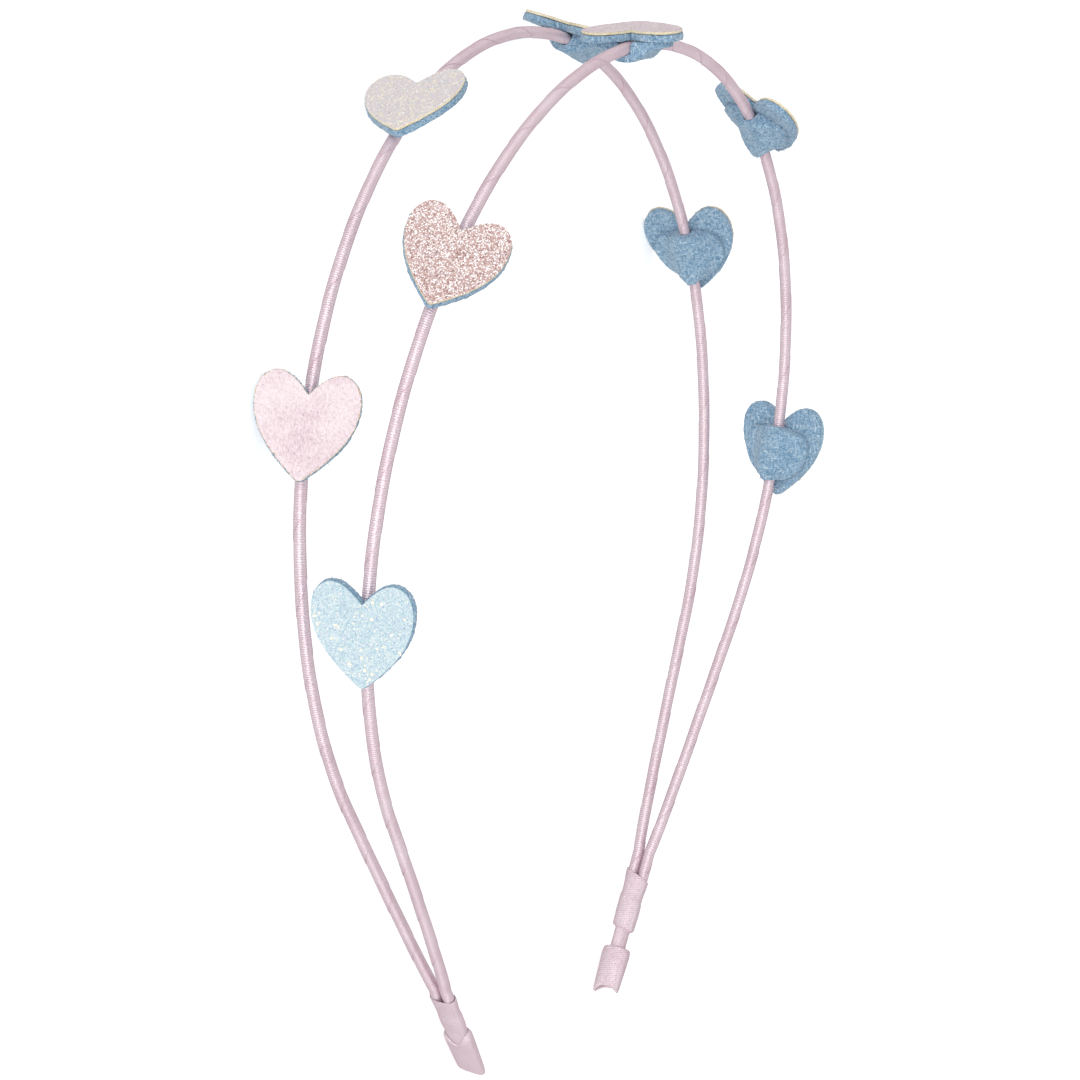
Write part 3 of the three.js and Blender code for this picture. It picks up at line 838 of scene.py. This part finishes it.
def makePatch(matrix, line, reach, rise, seed):
    # shortened toward the top edge by the reach
    rows, columns = patch["down"], patch["across"]
    table = softRows(patch["rows"], rows)
    top = patch["rows"][0][0]
    span = np.linspace(-1, 1, columns)[None, :]
    down, half = table[:, :1], table[:, 1:2]
    crowding = patch["crowding"]
    u = (crowding * np.sin(span * math.pi / 2) + (1 - crowding) * span) * half
    lift = 1 - smooth(np.abs(u) / np.minimum(patch["humpHalf"], half), patch["humpTop"], 1)
    raised = patch["crestRise"] * lift * np.maximum(0, 1 - down / patch["crestFade"])
    v = rise + raised - (top + (down - top) * reach)
    sag = v ** 2 / (2 * arch["hoopRadius"])
    base = patch["flat"] + (-patch["crest"] - sag - patch["flat"]) * lift
    u = u + patch["wander"] * wave(v * 1.6, u * 0.4, seed)
    v = v + patch["wander"] * wave(u * 1.5, v * 0.4, seed + 2)
    crease = patch["crease"] * wave(u * 1.5, v * 0.5, seed + 1)
    # glue and felt fill what the hump leaves beside the rod, whose line is read in the patch's own frame
    local = placed(line, matrix.inverted())
    local = local[np.argsort(local[:, 1])]
    aside = np.abs(u - np.interp(v, local[:, 1], local[:, 0]))
    level = np.interp(v, local[:, 1], local[:, 2])
    bed = level - np.sqrt(np.maximum(0, patch["groove"][0] ** 2 - aside ** 2))
    filled = bed + (patch["flat"] - bed) * smooth(aside, *patch["groove"])
    front = np.stack([u, v, filled], 2).reshape(-1, 3)
    back = np.stack([u, v, base - patch["thickness"] + crease], 2).reshape(-1, 3)
    faces = [face[::-1] for face in gridFaces(rows, columns, False)]
    under = rows * columns
    faces += [tuple(i + under for i in face[::-1]) for face in faces]
    border = borderOf(rows, columns)
    for a, b in zip(border, border[1:] + border[:1]):
        faces.append((b, a, a + under, b + under))
    mesh = meshFrom("patch", placed(np.concatenate([front, back]), matrix), faces)
    outward(mesh)
    pointValue(mesh, "top", np.ones(len(mesh.vertices)))
    made = newObject("patch", mesh)
    bevel = made.modifiers.new("edge", "BEVEL")
    bevel.width = patch["edge"] * mm
    bevel.segments = 2
    bevel.limit_method = "ANGLE"
    bevel.angle_limit = math.radians(patch["edgeTurn"])
    return made


# Tips: ribbon bound over both rods, and the folded tab below

tipForm = {
    "columns": 60, "rows": 130, "smoothAngle": 40,
    "fullness": 0.8,                        # under 1 fills the section's corners
    "stepHalf": 0.06, "grooveDeep": 0.1, "grooveWide": 0.1,      # mm at the edge of a wrap
    "climb": 1.2, "turn": 13.0,             # the weave's run for each mm up and for each whole turn
    "weaveStart": 0.1, "weaveSpan": 0.85,   # clear of the painted shade at the winding's edge
}
tipShapes = {
    # wraps: place up the leg, lean, step; then the mouth's slant and the tab's slant, dip and vee
    "left": {"wraps": [(13.2, 0.1, -0.055)], "mouthSlant": 0.25, "tabSlant": 0.5, "tabDip": 0.3,
             "tabVee": 2.0, "neckHalf": 1.74, "neckDeep": 1.1},
    "right": {"wraps": [(11.2, 0.8, -0.1), (8.0, 0.5, 0.06)], "mouthSlant": 0.9, "tabSlant": -0.2,
              "tabDip": 0.9, "tabVee": 0.0, "neckHalf": 1.22, "neckDeep": 0.88},
}


def legMatrix(hand):
    foot = rodLine(0, 1, np.array([hand * halfLine]))[0]
    lean = Matrix.Rotation(hand * math.radians(arch["hoopAngle"] - 90), 4, "Y")
    return lay @ Matrix.Translation(foot.tolist()) @ lean


def fuller(value):
    return np.sign(value) * np.abs(value) ** tipForm["fullness"]


def tube(name, matrix, table, wraps):
    # table rows: up, half, deep, slant to one side, dip in the middle, vee on the outer side; 0 if not given
    table = [row + (0,) * (6 - len(row)) for row in table]
    columns = tipForm["columns"]
    turn = np.linspace(0, fullTurn, columns, endpoint=False)
    wide, thick = np.cos(turn), np.sin(turn)
    vee = np.maximum(0, -thick) * (1 - np.abs(wide))
    points = []
    for up, half, deep, slant, dip, point in softRows(table, tipForm["rows"]):
        level = up + slant * wide + dip * (1 - wide ** 2) - point * vee
        grow = np.zeros(columns)
        for place, lean, step in wraps:
            past = level - place - lean * wide
            grow += step * smooth(past, -tipForm["stepHalf"], tipForm["stepHalf"])
            grow -= tipForm["grooveDeep"] * np.exp(-(past / tipForm["grooveWide"]) ** 2)
        points.append(np.column_stack([(deep + grow) * fuller(thick), (half + grow) * fuller(wide), level]))
    faces = gridFaces(len(points), columns, True)
    last = (len(points) - 1) * columns
    points = np.concatenate(points)
    rise = points[:, 2].tolist()
    for first in (0, last):
        faces += fanFaces(len(points), first, columns)
        points = np.concatenate([points, [points[first:first + columns].mean(0)]])
        rise.append(rise[first])
    mesh = meshFrom(name, placed(points, matrix), faces, tipForm["smoothAngle"])
    layer = mesh.uv_layers.new(name="wind")
    for face in mesh.polygons:
        ring = [v % columns for v in face.vertices]
        over = max(ring) - min(ring) > columns / 2
        for loop, vertex, column in zip(face.loop_indices, face.vertices, ring):
            # the weave runs on across the line where the turn starts
            share = (column + (columns if over and column < columns / 2 else 0)) / columns
            run = tipForm["climb"] * rise[vertex] + tipForm["turn"] * share
            layer.data[loop].uv = (run, tipForm["weaveStart"] + tipForm["weaveSpan"] * share)
    axis = np.tile(np.array(matrix.to_3x3() @ Vector((0, 0, 1)), np.float32), len(mesh.vertices))
    mesh.attributes.new("axis", "FLOAT_VECTOR", "POINT").data.foreach_set("vector", axis)
    mesh.materials.append(tipMaterial)
    outward(mesh)
    return newObject(name, mesh)


def makeTip(key):
    tip, shape = tips[key], tipShapes[key]
    matrix = legMatrix(tip["hand"])
    mouth, neck, slant = tip["mouth"], tip["neck"], shape["mouthSlant"]
    half, deep = shape["neckHalf"], shape["neckDeep"]
    binding = tube("wound_binding_" + key, matrix, [
        (tip["foot"], half, deep), (neck - 1.1, half, deep, 0.3), (neck - 0.5, half + 0.04, deep, 0.3),
        (neck - 0.1, 1.76, 1.14, 0.3), (neck + 0.8, 1.86, 1.2, 0.2), (mouth - 3, 1.84, 1.2, slant),
        (mouth - 1.2, 2.0, 1.2, slant), (mouth - 0.4, 2.07, 1.18, slant), (mouth, 2.05, 1.15, slant),
        # back in over the mouth's lip, and down to the rods' ends
        (mouth, 1.98, 1.08, slant), (mouth - 1.0, 1.94, 1.05), (mouth - 2.5, 1.72, 0.96),
        (tip["rodEnd"] - 0.3, 1.48, 0.8)], shape["wraps"])
    top, end = tip["tabTop"], tip["tabEnd"]
    slant, dip, vee = shape["tabSlant"], shape["tabDip"], shape["tabVee"]
    tab = tube("folded_tab_" + key, matrix, [
        (end + 1.6, 1.3, 0.42, slant, dip), (end + 0.3, 1.6, 0.5, slant, dip), (end, 1.95, 0.8, slant, dip),
        (end + 0.25, 2.06, 0.95, slant, dip), (end + 1.4, 2.14, 1.12, 0.5 * slant, 0.4 * dip),
        (top - 1.6, 2.28, 1.36, 0, 0, 0.5 * vee), (top - 0.6, 2.2, 1.4, 0, 0, vee),
        (top - 0.15, 2.0, 1.3, 0, 0, vee), (top, half + 0.16, deep + 0.1, 0, 0, vee),
        (top - 0.05, half + 0.04, deep + 0.03, 0, 0, vee),
        (top - 2.2, half + 0.03, deep + 0.02, 0, 0, vee)], [])
    return binding, tab


# Making

feltNap = {"Count": 1.8e6, "Length": 0.8 * mm, "Thickness": 0.04, "Lift": 0.1, "TopOnly": -1.0}
plushNap = {"Count": 5.0e6, "Length": 0.5 * mm, "Thickness": 0.04, "Lift": 0.25, "TopOnly": 0.5}
firstSeed, seedStep = 100, 10


def ridePiece(piece, slot, *nodes):
    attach(piece, "root")
    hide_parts(*nodes)


def makeFelt(piece, seed, name):
    return runTree(piece, fibres, {
        **feltNap, "Seed": seed, "Cloth": feltMaterial, "Fibre": fibreMaterial}, name)


def makeFace(matrix, finish, seed, name):
    sheet = sheetMaterials[finish]
    if finish not in grainMaterials:
        face = slab("face", matrix, layers["plush"], seed + 1, sheet)
        return runTree(face, fibres, {**plushNap, "Seed": seed, "Cloth": sheet, "Fibre": napMaterial}, name)
    face = slab("face", matrix, layers["glitter"], seed + 1, sheet)
    look = sheetLooks[finish]
    return runTree(face, grains, {
        "Spacing": look["spacing"] * mm, "Small": look["small"] * mm, "Large": look["large"] * mm,
        "Glint": look["glint"], "Cluster": look["cluster"], "Tilt": look["tilt"], "Seed": seed,
        "Sheet": sheet, "Grain": grainMaterials[finish]}, name)


def patchBed(line, origin, up):
    # the rod's line by the seat, and which way it runs there
    near = int(np.argmin(np.linalg.norm(line - origin, axis=1)))
    run = unit(line[near + 3] - line[near - 3])
    stretch = line[near - patch["stations"]:near + patch["stations"] + 1]
    return stretch, run if run @ up > 0 else -run


wound = windTree()
rodPoints = {}
for key in rods:
    rod, rodPoints[key] = makeRod(key, wound)
    ridePiece(rod, "ribbon", "rod_" + key)
    print("rod", key, "faces", len(rod.data.polygons))

fibres, grains = fibreTree(), grainTree()
for number, (place, row) in enumerate(hearts.items()):
    rodKey, seed = place.split("_")[0], firstSeed + seedStep * number
    origin, up, normal = heartPlace(place)
    matrix = seatMatrix(origin, up, normal)
    felt = makeFelt(slab("felt", matrix, layers["felt"], seed, feltMaterial), seed, "felt_" + place)
    face = makeFace(matrix, row["finish"], seed, "face_" + place)
    line, run = patchBed(rodPoints[rodKey], origin, up)
    lap = makePatch(seatMatrix(origin, run, normal), line, row.get("reach", 1), row.get("rise", 0), seed + 5)
    lap = makeFelt(lap, seed + 2, "patch_" + place)
    ridePiece(felt, "felt", "heart_felt_" + place)
    ridePiece(face, row["finish"], "heart_face_" + place)
    ridePiece(lap, "felt", "heart_patch_" + place)
    print("heart", place, row["finish"], [len(o.data.polygons) for o in (felt, face, lap)])

for key in tips:
    binding, tab = makeTip(key)
    ridePiece(binding, "ribbon", "binding_" + key)
    ridePiece(tab, "ribbon", "end_tab_" + key)
    print("tip", key, [len(o.data.polygons) for o in (binding, tab)])


# Camera, floor and light

view = {
    # degrees, then mm of the worn arch, then the camera's own values
    "azimuth": -63, "elevation": 15.4, "roll": 1.4,
    "distance": 600, "aside": -2.41, "above": 0.62, "height": 75,
    "lens": 134.4, "sensor": 36, "clip": 0.01,
}
lights = {
    # from the middle of the arch along the camera's own axes: right, up and back, in metres
    "key": {"at": (-0.12, 0.12, 1.0), "wide": 0.66, "high": 1.3, "power": 5.4},
    "low": {"at": (-0.12, -0.6, 0.78), "wide": 0.36, "high": 0.6, "power": 1.4},
}
skyLevel = 0.8
floorLook = {
    "reach": 4.0, "drop": 0.0001, "tones": [(0.3, (247, 247, 247)), (0.7, (250, 250, 250))], "scale": 3,
    "glow": 0.35, "roughness": 0.9, "specular": 0.1,
}


def makeCamera():
    a, e, roll = (math.radians(view[k]) for k in ("azimuth", "elevation", "roll"))
    back = Vector((math.sin(a) * math.cos(e), -math.cos(a) * math.cos(e), math.sin(e)))
    level = Vector((math.cos(a), math.sin(a), 0))
    upright = back.cross(level)
    right = math.cos(roll) * level + math.sin(roll) * upright
    upper = -math.sin(roll) * level + math.cos(roll) * upright
    target = Vector((0, 0, view["height"])) + view["aside"] * right + view["above"] * upper
    data = bpy.data.cameras.new("camera")
    data.lens = view["lens"]
    data.sensor_width = view["sensor"]
    data.clip_start = view["clip"]
    camera = newObject("camera", data)
    turn = Matrix((right, upper, back)).transposed().to_4x4()
    camera.matrix_world = Matrix.Translation(lay @ (target + view["distance"] * back)) @ layTurn @ turn
    scene.camera = camera
    return camera


def makeLights(camera):
    axes = camera.matrix_world.to_3x3()
    middle = lay @ Vector((0, 0, view["height"]))
    for name, row in lights.items():
        data = bpy.data.lights.new(name, "AREA")
        data.shape = "RECTANGLE"
        data.size = row["wide"]
        data.size_y = row["high"]
        data.energy = row["power"]
        lamp = newObject(name, data)
        # faces the arch with its long side along the camera's own upright
        away = axes @ Vector(row["at"])
        back = away.normalized()
        right = (axes @ Vector((0, 1, 0))).cross(back).normalized()
        turn = Matrix((right, back.cross(right), back)).transposed().to_4x4()
        lamp.matrix_world = Matrix.Translation(middle + away) @ turn
    world = bpy.data.worlds.new("studio")
    world.use_nodes = True
    feed(world.node_tree, world.node_tree.nodes["Background"], {"Color": (1, 1, 1, 1), "Strength": skyLevel})
    scene.world = world


def makeFloor():
    reach, low = floorLook["reach"], -floorLook["drop"]
    corners = [(-reach, -reach, low), (reach, -reach, low), (reach, reach, low), (-reach, reach, low)]
    mesh = meshFrom("floor", corners, [(0, 1, 2, 3)])
    material, tree, shader = newMaterial("paleFloor")
    feed(tree, shader, {
        "Base Color": tones(tree, speckle(tree, ownPlace(tree), floorLook["scale"]), floorLook["tones"]),
        "Roughness": floorLook["roughness"], "Specular IOR Level": floorLook["specular"],
        "Emission Color": (1, 1, 1, 1), "Emission Strength": floorLook["glow"]})
    mesh.materials.append(material)
    floor = newObject("floor", mesh)
    # the floor throws no light back, so that both sides of a rod are shaded alike
    floor.visible_diffuse = False
    floor.visible_glossy = False


makeFloor()
makeLights(makeCamera())
scene.view_settings.view_transform = "Standard"
